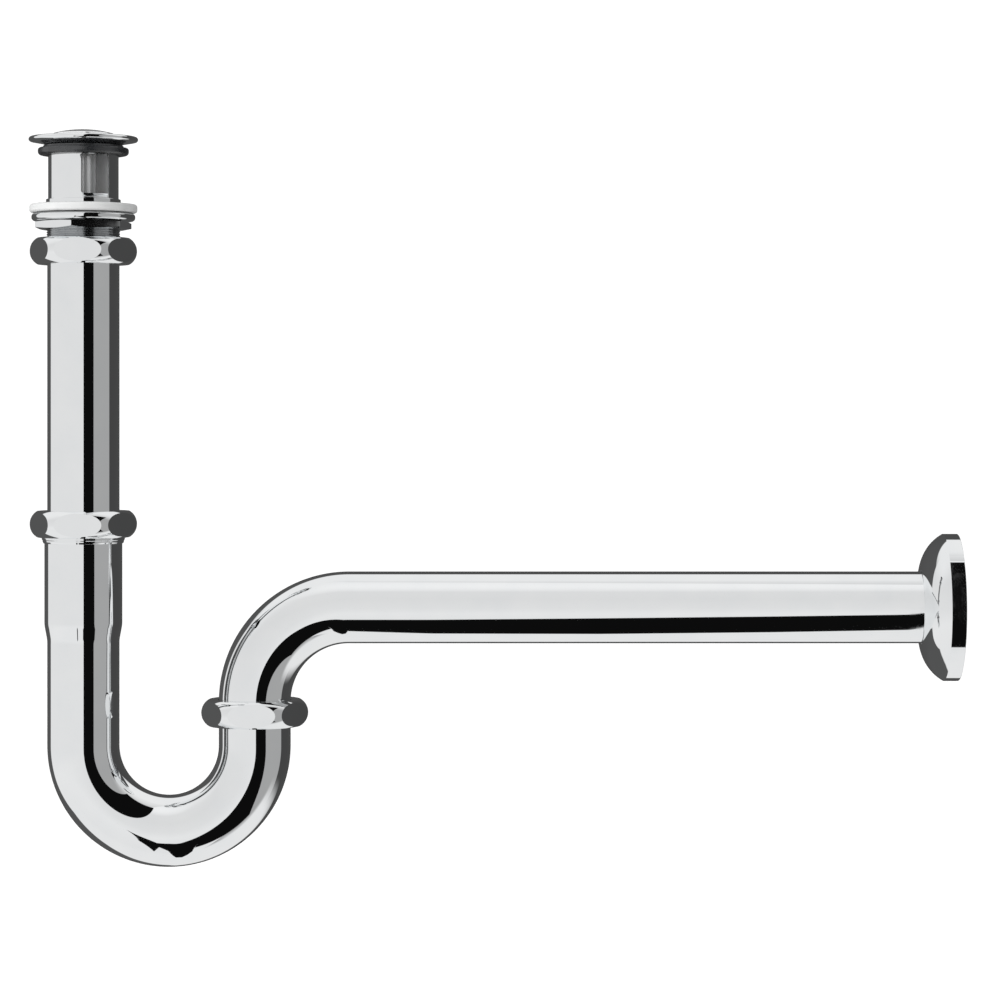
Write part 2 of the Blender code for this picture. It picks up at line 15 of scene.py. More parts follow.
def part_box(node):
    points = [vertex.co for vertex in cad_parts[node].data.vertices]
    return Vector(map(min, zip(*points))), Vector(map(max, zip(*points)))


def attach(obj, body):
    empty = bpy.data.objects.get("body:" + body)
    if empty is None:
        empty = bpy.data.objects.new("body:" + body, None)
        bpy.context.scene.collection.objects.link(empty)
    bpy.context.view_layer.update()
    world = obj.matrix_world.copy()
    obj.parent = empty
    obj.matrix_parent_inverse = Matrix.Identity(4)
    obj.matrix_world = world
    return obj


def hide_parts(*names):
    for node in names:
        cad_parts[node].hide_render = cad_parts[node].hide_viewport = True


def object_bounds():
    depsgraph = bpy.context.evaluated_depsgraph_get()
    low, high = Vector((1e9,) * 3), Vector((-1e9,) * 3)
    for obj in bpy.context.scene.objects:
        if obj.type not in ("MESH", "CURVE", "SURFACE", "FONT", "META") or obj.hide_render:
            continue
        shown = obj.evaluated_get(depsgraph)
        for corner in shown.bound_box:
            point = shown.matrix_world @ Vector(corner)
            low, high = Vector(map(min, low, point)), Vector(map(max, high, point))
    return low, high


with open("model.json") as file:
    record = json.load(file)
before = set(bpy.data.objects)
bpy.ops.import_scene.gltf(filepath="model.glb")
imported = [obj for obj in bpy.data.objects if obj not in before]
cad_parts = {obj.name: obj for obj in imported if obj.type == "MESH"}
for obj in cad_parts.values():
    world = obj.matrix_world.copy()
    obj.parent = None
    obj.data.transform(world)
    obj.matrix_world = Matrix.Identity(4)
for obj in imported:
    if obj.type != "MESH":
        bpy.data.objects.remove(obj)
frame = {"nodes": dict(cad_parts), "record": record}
cad_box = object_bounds()

GAP = 0.0003
ROUND = 144  # columns around a turned piece
SOFT_EDGE = 0.00025  # radius on a machined edge
SHARP = math.radians(25)

# Tube
TUBE_R = 0.01905
TUBE_BORE_R = 0.01785
TUBE_EDGE = 0.0004
SLEEVE_R = TUBE_R + GAP  # inside of whatever slides on the tube
BEND_STEPS = 48  # rings along a quarter bend
ARM_BEND_R = 0.0500

# Bell
BELL_R = 0.02055
BELL_END_Z = -0.2530
TAPER_END_Z = -0.2612
TAPER_BLEND = 0.0150  # rounding where the taper meets the bell and the tube
SKIRT_H = 0.0029
SKIRT_R = 0.0219
SKIRT_BEAD_H = 0.0010
SKIRT_STEP_R = 0.0215

# Waste
RIM_R = 0.0289
RIM_Z = 0.0058
RIM_EDGE = 0.0013
FLARE_Z = 0.0022
FLARE_R = 0.02175
NECK_R = 0.01975
NECK_TOP_Z = 0.0011
STEM_R = 0.0186
STEM_BORE_R = 0.0171
THROAT_R = 0.0210
THROAT_Z = 0.0036
THROAT_END_Z = -0.0010
COLLAR_R = 0.0197
COLLAR_TOP_Z = -0.0274
COLLAR_END_Z = -0.0297
THREAD_R = 0.01945
THREAD_ROOT_R = 0.01885
THREAD_PITCH = 0.00125
THREAD_STEPS = 8  # rings in each turn of the thread
THREAD_SLEEVE_R = THREAD_R + 0.00035  # inside of whatever goes over the thread
THREAD_GAP = 0.0012  # from the thread's end down to the dip tube
SPIGOT_R = 0.0174
TAIL_BORE_R = 0.0159
LEDGE_Z = -0.0360
WINDOW_TOP_Z = -0.0043
WINDOW_END_Z = -0.0250
WINDOW_WIDTH = 0.0157
WINDOW_CORNER = 0.0012
WINDOW_TURN = math.radians(28)
ACROSS_WINDOW = 16  # columns between a window's edges
BESIDE_WINDOW = 56  # columns from one window to the other
CORNER_STEPS = 6  # rings round a window's corner

# Plug and click cartridge
CAP_DOME_R = 0.0600
CAP_CROWN_R = 0.0142
CAP_SHOULDER_R = 0.0169
CAP_SHOULDER_Z = 0.0061
CAP_EDGE_Z = 0.0044
CAP_UNDER_Z = 0.0032
BOSS_R = 0.0065
STEM_HOLE_R = 0.0043  # in the cap's boss and in the cartridge's lid
SOCKET_END_Z = 0.0055
PLUG_STEM_R = 0.0040
PISTON_H = 0.0040
CARTRIDGE_R = 0.0070
CARTRIDGE_BORE_R = 0.0056
CARTRIDGE_LID_H = 0.0030
STUD_R = 0.0029
FLUTES = 9
FLUTE_DEPTH = 0.0009
FLUTE_INSET = 0.0020  # from a flute's end to the barrel's
SPRING_R = 0.0044
SPRING_WIRE_R = 0.00045
SPRING_TURNS = 4

# Gaskets
GASKET_COLLAR_R = 0.0212
GASKET_ROUNDING = 0.0018
UNION_GASKET_BORE_R = 0.0181

# Nuts
NUT_HALF_H = 0.0070
NUT_BULGE_R = 0.0081
NUT_BULGE_CENTRE_R = 0.02025
NUT_FLAT = 0.0509 / 2
NUT_LIP = 0.0024
NUT_THREAD_R = 0.0229
NUT_EDGE = 0.0003
LOCK_NUT_FLAT = 0.0459 / 2
LOCK_NUT_TURN = math.radians(23)
LOCK_NUT_CROWN = 0.0005  # height of the rounding over its top corners
LOCK_NUT_CHAMFER = 0.0010  # height of the chamfer under its lower corners
LOCK_NUT_FACE_INSET = 0.0008  # from the flats to the lower face's edge

# Wall flange, as distances from the wall
PLATE_DOME_R = 0.0236
PLATE_DOME_CENTRE_R = 0.0185
PLATE_DOME_CENTRE = -0.0040
PLATE_HOLE_R = 0.0194
PLATE_LIP_R = 0.0205
PLATE_WALL = 0.0016


# ---------------------------------------------------------------- outlines

def arc(centre_r, centre_s, radius, start, end, steps):
    """Outline corners along an arc, with angles in degrees from the outward direction."""
    turn = 1 if end > start else -1
    corners = []
    for i in range(steps + 1):
        angle = math.radians(start + (end - start) * i / steps)
        way = (-math.sin(angle) * turn, math.cos(angle) * turn)
        corners.append((centre_r + radius * math.cos(angle), centre_s + radius * math.sin(angle), 0, way))
    return corners


def direction(a, b):
    length = math.hypot(b[0] - a[0], b[1] - a[1])
    return ((b[0] - a[0]) / length, (b[1] - a[1]) / length)


def round_corner(before, corner, after, steps=4):
    """Replaces a corner (r, s, radius) by an arc that meets both of its sides."""
    way_in = direction(before, corner)
    way_out = direction(corner, after)
    dot = max(-1.0, min(1.0, way_in[0] * way_out[0] + way_in[1] * way_out[1]))
    turn = math.acos(dot)
    side = 1 if way_in[0] * way_out[1] - way_in[1] * way_out[0] > 0 else -1
    room = 0.45 * min(math.dist(before[:2], corner[:2]), math.dist(corner[:2], after[:2]))
    cut = min(corner[2] * math.tan(turn / 2), room)
    radius = cut / math.tan(turn / 2)
    start = (corner[0] - way_in[0] * cut, corner[1] - way_in[1] * cut)
    centre = (start[0] - side * way_in[1] * radius, start[1] + side * way_in[0] * radius)
    made = []
    for i in range(steps + 1):
        angle = side * turn * i / steps
        cos, sin = math.cos(angle), math.sin(angle)
        way = (way_in[0] * cos - way_in[1] * sin, way_in[0] * sin + way_in[1] * cos)
        place = (centre[0] + side * way[1] * radius, centre[1] - side * way[0] * radius)
        made.append((place[0], place[1], way, way))
    return made


def refine(outline):
    """Turns corners (r, s[, rounding[, way]]) of a closed outline into points (r, s, way in, way out)."""
    corners = [tuple(c) + (0, None)[len(c) - 2:] for c in outline]
    points = []
    for i, corner in enumerate(corners):
        before = corners[i - 1]
        after = corners[(i + 1) % len(corners)]
        way_in = direction(before, corner)
        way_out = direction(corner, after)
        if corner[3]:
            smooth_in = before[3] or turned_by(way_in, corner[3]) < SHARP
            smooth_out = after[3] or turned_by(way_out, corner[3]) < SHARP
            way_in = corner[3] if smooth_in else way_in
            way_out = corner[3] if smooth_out else way_out
            points.append((corner[0], corner[1], way_in, way_out))
        elif corner[2]:
            points += round_corner(before, corner, after)
        else:
            points.append((corner[0], corner[1], way_in, way_out))
    return points


def turned_by(a, b):
    return math.acos(max(-1.0, min(1.0, a[0] * b[0] + a[1] * b[1])))


def stretched(points, marks):
    """Adds rings at those distances, to every side of the outline that passes them."""
    made = []
    for i, here in enumerate(points):
        made.append(here)
        after = points[(i + 1) % len(points)]
        low, high = sorted((here[1], after[1]))
        within = sorted((m for m in marks if low + 1e-7 < m < high - 1e-7), reverse=after[1] < here[1])
        for mark in within:
            share = (mark - here[1]) / (after[1] - here[1])
            made.append((here[0] + (after[0] - here[0]) * share, mark, here[3], here[3]))
    return made


# ---------------------------------------------------------------- paths

def straight(origin, axis=(0, 0, 1), side=(1, 0, 0)):
    """A path that is a straight line: distance 0 is at the origin."""
    axis, side = Vector(axis), Vector(side)
    across = axis.cross(side)

    def place(s):
        return Vector(origin) + axis * s, side, across, axis

    return place


ONWARD = (1, 0)  # a straight run, longer than any tube


def bent(start, start_way, runs):
    """A path in the XZ plane. Each run is (length, 0) or (angle, radius)."""
    across = Vector((0, 1, 0))

    def place(s):
        spot, way = Vector(start), Vector(start_way)
        for index, (amount, radius) in enumerate(runs):
            length = abs(amount) * radius if radius else amount
            last = index == len(runs) - 1
            part = s if last else min(s, length)
            if index == 0 and s < 0:
                return spot + way * s, across.cross(way), across, way
            if radius:
                angle = math.copysign(part / radius, amount)
                side = across.cross(way) * math.copysign(1, amount)
                turn = Matrix.Rotation(angle, 3, across)
                spot = spot + side * radius - (turn @ side) * radius
                way = turn @ way
            else:
                spot = spot + way * part
            s -= part
            if s <= 1e-9:
                break
        return spot, across.cross(way), across, way

    return place


# ---------------------------------------------------------------- solids

def round_columns(r, s):
    """Even columns, as (angle, radius, flat) where flat is the way a flat cell after it faces."""
    return [(math.tau * j / ROUND, r, None) for j in range(ROUND)]


def ribbed(count, depth, low, high):
    """Columns of a barrel with shallow round flutes between two heights."""

    def columns(r, s):
        cut = depth if low < s < high and r > CARTRIDGE_R - 1e-6 else 0
        made = []
        for j in range(ROUND):
            angle = math.tau * j / ROUND
            wave = max(0, math.cos(count * angle)) ** 2
            made.append((angle, r - cut * wave, None))
        return made

    return columns


def flat_sided(flat, turn=-math.pi / 2, per_side=20):
    """Columns of a round piece cut by six flats at that distance from its axis."""
    corner = math.pi / 6

    def columns(r, s):
        half = min(math.acos(min(1.0, flat / r)), corner)
        radius = min(r, flat / math.cos(half)) if half else r
        made = []
        for k in range(6):
            middle = turn + k * math.tau / 6
            made.append((middle - half, radius, middle if half > 1e-4 else None))
            for j in range(per_side):
                made.append((middle + half + 2 * (corner - half) * j / per_side, radius, None))
        return made

    return columns


def windowed(r, s):
    """Columns of the waste's stem, with an edge of each window on a column."""
    edge = min(WINDOW_TOP_Z - s, s - WINDOW_END_Z)
    reach = WINDOW_WIDTH / 2 - WINDOW_CORNER
    if edge > 0:
        drop = max(0, WINDOW_CORNER - edge)
        reach += math.sqrt(WINDOW_CORNER**2 - drop**2)
    half = math.asin(reach / max(r, STEM_BORE_R))
    made = []
    for k in range(2):
        middle = WINDOW_TURN - math.pi / 2 + k * math.pi
        for j in range(ACROSS_WINDOW):
            made.append((middle - half + 2 * half * j / ACROSS_WINDOW, r, None))
        for j in range(BESIDE_WINDOW):
            made.append((middle + half + (math.pi - 2 * half) * j / BESIDE_WINDOW, r, None))
    return made


def in_window(a, b, column):
    """Whether the cell between two rings is open."""
    across = column % (ACROSS_WINDOW + BESIDE_WINDOW) < ACROSS_WINDOW
    return across and all(WINDOW_END_Z - 1e-7 <= p[1] <= WINDOW_TOP_Z + 1e-7 for p in (a, b))


class Shell:
    """Faces with a normal at each corner, and points merged where they meet."""

    def __init__(self):
        self.spots, self.index, self.faces, self.normals = [], {}, [], []

    def point(self, spot):
        key = tuple(round(c * 1e7) for c in spot)
        if key not in self.index:
            self.index[key] = len(self.spots)
            self.spots.append(tuple(spot))
        return self.index[key]

    def face(self, corners):
        kept = []
        for spot, normal in corners:
            index = self.point(spot)
            if index not in [k[0] for k in kept]:
                kept.append((index, tuple(normal)))
        if len(kept) > 2:
            self.faces.append([k[0] for k in kept])
            self.normals += [k[1] for k in kept]

    def publish(self, name):
        mesh = bpy.data.meshes.new(name)
        mesh.from_pydata(self.spots, [], self.faces)
        mesh.shade_smooth()
        mesh.normals_split_custom_set(self.normals)
        obj = bpy.data.objects.new(name, mesh)
        bpy.context.collection.objects.link(obj)
        return obj


def twice_area(points):
    return sum(a[0] * b[1] - b[0] * a[1] for a, b in zip(points, points[1:] + points[:1]))


def ring_at(path, columns, s, r):
    """(place, outward way, flat way or None) for each column of a ring, and the path's way there."""
    spot, side, across, way = path(s)
    ring = []
    for angle, radius, flat in columns(r, s):
        outward = side * math.cos(angle) + across * math.sin(angle)
        facing = None if flat is None else side * math.cos(flat) + across * math.sin(flat)
        ring.append((spot + outward * radius, outward, facing))
    return ring, way


def swept(name, outline, path, columns=round_columns, marks=(), is_open=None, extra=None):
    """A solid whose closed outline of (radius, distance) goes round a path."""
    points = stretched(refine(outline), marks)
    if twice_area(points) < 0:
        points = [(r, s, (-b[0], -b[1]), (-a[0], -a[1])) for r, s, a, b in points[::-1]]
    rings = [ring_at(path, columns, p[1], p[0]) for p in points]
    shell = Shell()
    for i in range(len(points)):
        a, b = points[i - 1], points[i]
        if a[0] < 1e-9 and b[0] < 1e-9:
            continue
        (ring_a, axis_a), (ring_b, axis_b) = rings[i - 1], rings[i]
        for j in range(len(ring_a)):
            if is_open and is_open(a, b, j):
                continue
            k = (j + 1) % len(ring_a)
            flat = ring_a[j][2] or ring_b[j][2]
            cell = []
            for ring, axis, column, way in (
                (ring_a, axis_a, j, a[3]),
                (ring_a, axis_a, k, a[3]),
                (ring_b, axis_b, k, b[2]),
                (ring_b, axis_b, j, b[2]),
            ):
                cell.append((ring[column][0], flat or ring[column][1] * way[1] - axis * way[0]))
            shell.face(cell)
    if extra:
        extra(shell)
    return shell.publish(name)


def window_rings():
    """Heights of the rings that follow the windows' rounded corners."""
    turns = [math.pi / 2 * i / CORNER_STEPS for i in range(CORNER_STEPS + 1)]
    drops = [WINDOW_CORNER * (1 - math.cos(turn)) for turn in turns]
    return sorted([WINDOW_END_Z + d for d in drops] + [WINDOW_TOP_Z - d for d in drops])


def add_jambs(shell):
    """The faces through the wall all round each window of the stem."""
    heights = window_rings()
    total = 2 * (ACROSS_WINDOW + BESIDE_WINDOW)

    def spot(r, s, column):
        angle = windowed(r, s)[column % total][0]
        return Vector((r * math.cos(angle), r * math.sin(angle), s))

    for first in (0, ACROSS_WINDOW + BESIDE_WINDOW):
        columns = list(range(first, first + ACROSS_WINDOW + 1))
        loop = [(s, first) for s in heights] + [(heights[-1], c) for c in columns[1:]]
        loop += [(s, columns[-1]) for s in heights[-2::-1]] + [(heights[0], c) for c in columns[-2::-1]]
        for (s0, c0), (s1, c1) in zip(loop, loop[1:]):
            outer = [spot(STEM_R, s0, c0), spot(STEM_R, s1, c1)]
            corners = outer + [spot(STEM_BORE_R, s1, c1), spot(STEM_BORE_R, s0, c0)]
            normal = (corners[1] - corners[0]).cross(corners[3] - corners[0]).normalized()
            shell.face([(c, normal) for c in corners])


def helix_ring(name, top_z, end_z, crest_r, root_r, bore_r):
    """A ring with a round-edged screw thread outside."""
    turns = (top_z - end_z) / THREAD_PITCH
    count = math.ceil(turns * THREAD_STEPS)
    shell = Shell()

    def radius(z, angle):
        phase = (z - angle / math.tau * THREAD_PITCH) / THREAD_PITCH % 1
        lift = 0.5 - 0.5 * math.cos(math.tau * phase)
        fade = min(1, (top_z - z) / THREAD_PITCH, (z - end_z) / THREAD_PITCH)
        return root_r + (crest_r - root_r) * lift**0.8 * max(0, fade)

    def spot(i, j):
        z = end_z + (top_z - end_z) * i / count
        angle = math.tau * j / ROUND
        r = radius(z, angle)
        return Vector((r * math.cos(angle), r * math.sin(angle), z))

    def inner(z, j):
        angle = math.tau * j / ROUND
        return Vector((bore_r * math.cos(angle), bore_r * math.sin(angle), z))

    def slope(i, j):
        along = spot(i, j + 0.5) - spot(i, j - 0.5)
        upward = spot(min(i + 0.5, count), j) - spot(max(i - 0.5, 0), j)
        return along.cross(upward).normalized()

    normals = [[slope(i, j) for j in range(ROUND)] for i in range(count + 1)]
    for j in range(ROUND):
        k = (j + 1) % ROUND
        for i in range(count):
            corners = [(i, j), (i, k), (i + 1, k), (i + 1, j)]
            shell.face([(spot(*c), normals[c[0]][c[1]]) for c in corners])
        up, down = Vector((0, 0, 1)), Vector((0, 0, -1))
        shell.face([(v, up) for v in (spot(count, j), spot(count, k), inner(top_z, k), inner(top_z, j))])
        shell.face([(v, down) for v in (spot(0, k), spot(0, j), inner(end_z, j), inner(end_z, k))])
        wall = [inner(end_z, k), inner(end_z, j), inner(top_z, j), inner(top_z, k)]
        shell.face([(v, Vector((-v.x, -v.y, 0)).normalized()) for v in wall])
    return shell.publish(name)


def coil(name, radius, wire_r, low_z, high_z, turns):
    """A round wire coil about the waste's axis, with its ends closed flat."""
    curve = bpy.data.curves.new(name, "CURVE")
    curve.dimensions = "3D"
    curve.bevel_depth = wire_r
    curve.bevel_resolution = 5
    curve.use_fill_caps = True
    spline = curve.splines.new("POLY")
    steps = 48 * turns
    spline.points.add(steps)
    for i in range(steps + 1):
        turn = math.tau * turns * i / steps
        z = low_z + (high_z - low_z) * i / steps
        spline.points[i].co = (radius * math.cos(turn), radius * math.sin(turn), z, 1)
    obj = bpy.data.objects.new(name, curve)
    bpy.context.collection.objects.link(obj)
    return obj


# ---------------------------------------------------------------- places, from the frame

def z_range(node):
    low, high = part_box(node)
    return low.z, high.z


def middle_of(node):
    low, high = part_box(node)
    return (low + high) / 2


LEG_X = middle_of("union_nut").x
ARM_Z = middle_of("flange_grip_ring").z
WALL_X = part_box("wall_flange")[1].x
U_CENTRE_Z = z_range("trap_bend")[0] + LEG_X / 2 + TUBE_R
ARM_BEND_Z = ARM_Z - ARM_BEND_R
THREAD_END_Z = z_range("dip_tube")[1] + THREAD_GAP
WASTE = straight((0, 0, 0))
BODY_OF = {
    node: body for body, nodes in frame["record"]["behaviour"]["bodies"].items() for node in nodes
}
SLOT_OF = {part["node"]: part["material_slot"] for part in frame["record"]["subparts"]}


# ---------------------------------------------------------------- materials

def new_material(name):
    material = bpy.data.materials.new(name)
    material.use_nodes = True
    return material, material.node_tree.nodes, material.node_tree.links


def noise(nodes, links, scale, detail, low, high):
    """Soft noise in metres of the object, mapped between two values."""
    place = nodes.new("ShaderNodeTexCoord")
    texture = nodes.new("ShaderNodeTexNoise")
    texture.inputs["Scale"].default_value = scale
    texture.inputs["Detail"].default_value = detail
    spread = nodes.new("ShaderNodeMapRange")
    spread.inputs["From Min"].default_value = 0.3
    spread.inputs["From Max"].default_value = 0.7
    spread.inputs["To Min"].default_value = low
    spread.inputs["To Max"].default_value = high
    links.new(place.outputs["Object"], texture.inputs["Vector"])
    links.new(texture.outputs["Fac"], spread.inputs["Value"])
    return spread.outputs["Result"]


def bump(nodes, links, height, distance, shader):
    node = nodes.new("ShaderNodeBump")
    node.inputs["Distance"].default_value = distance
    links.new(height, node.inputs["Height"])
    links.new(node.outputs["Normal"], shader.inputs["Normal"])


def tinted(nodes, links, factor, dark, light, shader):
    """A base colour that drifts between two."""
    ramp = nodes.new("ShaderNodeValToRGB")
    ramp.color_ramp.elements[0].color = (*dark, 1)
    ramp.color_ramp.elements[1].color = (*light, 1)
    links.new(factor, ramp.inputs["Fac"])
    links.new(ramp.outputs["Color"], shader.inputs["Base Color"])


def metal_look(name, dark, light, smooth, dull, grain_scale, grain, metallic=1.0):
    """Plated or bare metal: its roughness runs from smooth to dull, over a faint ripple."""
    material, nodes, links = new_material(name)
    shader = nodes["Principled BSDF"]
    shader.inputs["Metallic"].default_value = metallic
    tinted(nodes, links, noise(nodes, links, 60, 3, 0, 1), dark, light, shader)
    links.new(noise(nodes, links, 180, 4, smooth, dull), shader.inputs["Roughness"])
    bump(nodes, links, noise(nodes, links, grain_scale, 2, 0, 1), grain, shader)
    return material


def soft_look(name, dark, light, smooth, dull, grain_scale, grain, specular=0.5):
    """Rubber or plastic: its roughness runs from smooth to dull, over a fine moulded skin."""
    material, nodes, links = new_material(name)
    shader = nodes["Principled BSDF"]
    shader.inputs["Specular IOR Level"].default_value = specular
    tinted(nodes, links, noise(nodes, links, 140, 5, 0, 1), dark, light, shader)
    links.new(noise(nodes, links, 400, 3, smooth, dull), shader.inputs["Roughness"])
    bump(nodes, links, noise(nodes, links, grain_scale, 3, 0, 1), grain, shader)
    return material


LOOKS = {
    "chrome": metal_look(
        "polished_chrome", (0.90, 0.915, 0.925), (0.93, 0.94, 0.945), 0.012, 0.035, 35, 0.000002),
    "satin": metal_look(
        "satin_chrome", (0.90, 0.91, 0.92), (0.94, 0.945, 0.95), 0.28, 0.42, 300, 0.000004, 0.2),
    "cap": metal_look(
        "cap_chrome", (0.88, 0.89, 0.90), (0.92, 0.93, 0.935), 0.03, 0.07, 120, 0.000002, 0.6),
    # Painted shade: the thread's base colour is a mid grey, darker than the chrome it really is, standing
    # in for the shade in its grooves.
    "thread": metal_look(
        "thread_painted_groove_shade", (0.44, 0.455, 0.465), (0.56, 0.57, 0.58), 0.10, 0.20, 700, 0.000004),
    "steel": metal_look(
        "bright_steel", (0.80, 0.81, 0.82), (0.90, 0.90, 0.90), 0.16, 0.28, 900, 0.000006, 0.65),
    "brass": metal_look(
        "bare_brass", (0.62, 0.44, 0.20), (0.76, 0.58, 0.30), 0.22, 0.38, 500, 0.00001),
    "black_rubber": soft_look(
        "black_rubber", (0.014, 0.015, 0.017), (0.028, 0.030, 0.033), 0.22, 0.34, 2500, 0.00002, 1.0),
    "white_rubber": soft_look(
        "white_rubber", (0.78, 0.79, 0.79), (0.86, 0.865, 0.86), 0.38, 0.50, 1800, 0.00002),
    "white_plastic": soft_look(
        "white_plastic", (0.76, 0.76, 0.74), (0.84, 0.84, 0.82), 0.30, 0.42, 1500, 0.00001),
}


def show(piece, node, *more_nodes, look=None):
    """The piece stands for these nodes: it takes the first one's body, slot and, by default, material."""
    piece.data.materials.append(LOOKS[look or SLOT_OF[node]])
    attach(piece, BODY_OF[node])
    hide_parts(node, *more_nodes)
    return piece


# ---------------------------------------------------------------- pieces

def make_waste():
    """Flange, windowed stem, thread and spigot."""
    spigot_end_z, _ = z_range("waste_body")
    outline = arc(RIM_R - RIM_EDGE, RIM_Z - RIM_EDGE, RIM_EDGE, 112, -62, 14)
    outline += [
        (FLARE_R, FLARE_Z, 0.0012),
        (NECK_R, NECK_TOP_Z, 0.0006),
        (NECK_R, GAP, SOFT_EDGE),
        (STEM_R, GAP),
        (STEM_R, COLLAR_TOP_Z, 0.0001),
        (COLLAR_R, COLLAR_TOP_Z, SOFT_EDGE),
        (COLLAR_R, COLLAR_END_Z, SOFT_EDGE),
        (THREAD_ROOT_R, COLLAR_END_Z),
        (THREAD_ROOT_R, THREAD_END_Z, SOFT_EDGE),
        (SPIGOT_R, THREAD_END_Z),
        (SPIGOT_R, spigot_end_z, 0.0005),
        (TAIL_BORE_R, spigot_end_z, SOFT_EDGE),
        (TAIL_BORE_R, LEDGE_Z, SOFT_EDGE),
        (STEM_BORE_R, LEDGE_Z),
        (STEM_BORE_R, THROAT_END_Z, 0.0010),
        (THROAT_R, THROAT_Z, 0.0008),
    ]
    stem = swept("waste_stem", outline, WASTE, windowed, window_rings(), in_window, add_jambs)
    show(stem, "waste_body")
    stem.data.materials.append(LOOKS["satin"])
    for face in stem.data.polygons:
        centre = face.center
        if math.hypot(centre.x, centre.y) < STEM_BORE_R and centre.z > LEDGE_Z:
            face.material_index = 1
    run_out, sunk, proud = 0.0006, 0.0004, 0.00002  # the thread's ring stands a little proud of its root
    thread = helix_ring(
        "waste_thread", COLLAR_END_Z - run_out, THREAD_END_Z + GAP, THREAD_R,
        THREAD_ROOT_R + proud, THREAD_ROOT_R - sunk)
    show(thread, "waste_body", look="thread")


def make_plug():
    """Domed cap with its boss and seal, and the stem below it."""
    low, high = z_range("plug_cap")
    cap_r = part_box("plug_cap")[1].x
    crown_angle = math.degrees(math.asin(CAP_CROWN_R / CAP_DOME_R))
    cap = arc(0, high - CAP_DOME_R, CAP_DOME_R, 90, 90 - crown_angle, 20) + [
        (CAP_CROWN_R + 0.0016, high - 0.0021, 0.0009),
        (CAP_SHOULDER_R, CAP_SHOULDER_Z, 0.0005),
        (cap_r, CAP_EDGE_Z, 0.0003),
        (cap_r - 0.0004, CAP_UNDER_Z, 0.0003),
        (BOSS_R, CAP_UNDER_Z),
        (BOSS_R, low, SOFT_EDGE),
        (STEM_HOLE_R, low, 0.0001),
        (STEM_HOLE_R, SOCKET_END_Z),
        (0, SOCKET_END_Z),
    ]
    show(swept("plug_dome", cap, WASTE), "plug_cap", look="cap")

    low, high = z_range("plug_seal")
    seal_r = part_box("plug_seal")[1].x
    seal = [
        (BOSS_R + GAP, high),
        (seal_r, high, SOFT_EDGE),
        (seal_r - GAP, low, SOFT_EDGE),
        (BOSS_R + GAP, low),
    ]
    show(swept("plug_seal_ring", seal, WASTE), "plug_seal")

    low, high = z_range("plug_stem")
    piston_r, piston_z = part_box("plug_stem")[1].x, low + PISTON_H
    stem = [
        (0, high),
        (PLUG_STEM_R, high, SOFT_EDGE),
        (PLUG_STEM_R, piston_z),
        (piston_r, piston_z, SOFT_EDGE),
        (piston_r, low, SOFT_EDGE),
        (0, low),
    ]
    show(swept("plug_rod", stem, WASTE), "plug_stem")


def make_cartridge():
    """Fluted click barrel with its stud, and the spring inside."""
    low, high = z_range("click_cartridge")
    barrel_z = z_range("cartridge_spider")[1] + GAP
    floor_z = z_range("plug_spring")[0] - GAP
    lid_z = high - CARTRIDGE_LID_H
    barrel = [
        (0, low),
        (STUD_R, low, SOFT_EDGE),
        (STUD_R, barrel_z),
        (CARTRIDGE_R, barrel_z, 0.0004),
        (CARTRIDGE_R, high, 0.0005),
        (STEM_HOLE_R, high, SOFT_EDGE),
        (STEM_HOLE_R, lid_z),
        (CARTRIDGE_BORE_R, lid_z),
        (CARTRIDGE_BORE_R, floor_z),
        (0, floor_z),
    ]
    flute_top, flute_end = high - FLUTE_INSET, barrel_z + FLUTE_INSET
    marks = [flute_end - 1e-5, flute_end + 1e-5, flute_top - 1e-5, flute_top + 1e-5]
    columns = ribbed(FLUTES, FLUTE_DEPTH, flute_end, flute_top)
    show(swept("click_barrel", barrel, WASTE, columns, marks), "click_cartridge")

    low, high = z_range("plug_spring")
    low, high = low + SPRING_WIRE_R, high - SPRING_WIRE_R
    spring = coil("click_spring", SPRING_R, SPRING_WIRE_R, low, high, SPRING_TURNS)
    show(spring, "plug_spring")


PLAIN_RINGS = (  # piece, node, bore, rounding of the outer edge and of the bore's edge
    ("clamp_gasket", "lower_gasket", THREAD_SLEEVE_R, 0.0014, 0.0003),
    ("clamp_washer", "pressure_washer", THREAD_SLEEVE_R, 0.0018, 0.0002),
    ("coupling_washer_ring", "coupling_washer", SPIGOT_R + GAP, 0.0001, 0.0001),
    ("coupling_seal_ring", "coupling_seal", SLEEVE_R, 0.0004, 0.0003),
    ("slip_friction_ring", "slip_ring", SLEEVE_R, 0.0001, 0.0001),
    ("union_collar_ring", "union_collar", SLEEVE_R, 0.0004, 0.0002),
    ("union_gasket_ring", "union_gasket", UNION_GASKET_BORE_R, 0.0004, 0.0002),
    ("union_thread_ring", "union_ferrule", SLEEVE_R, 0.0004, 0.0002),
)


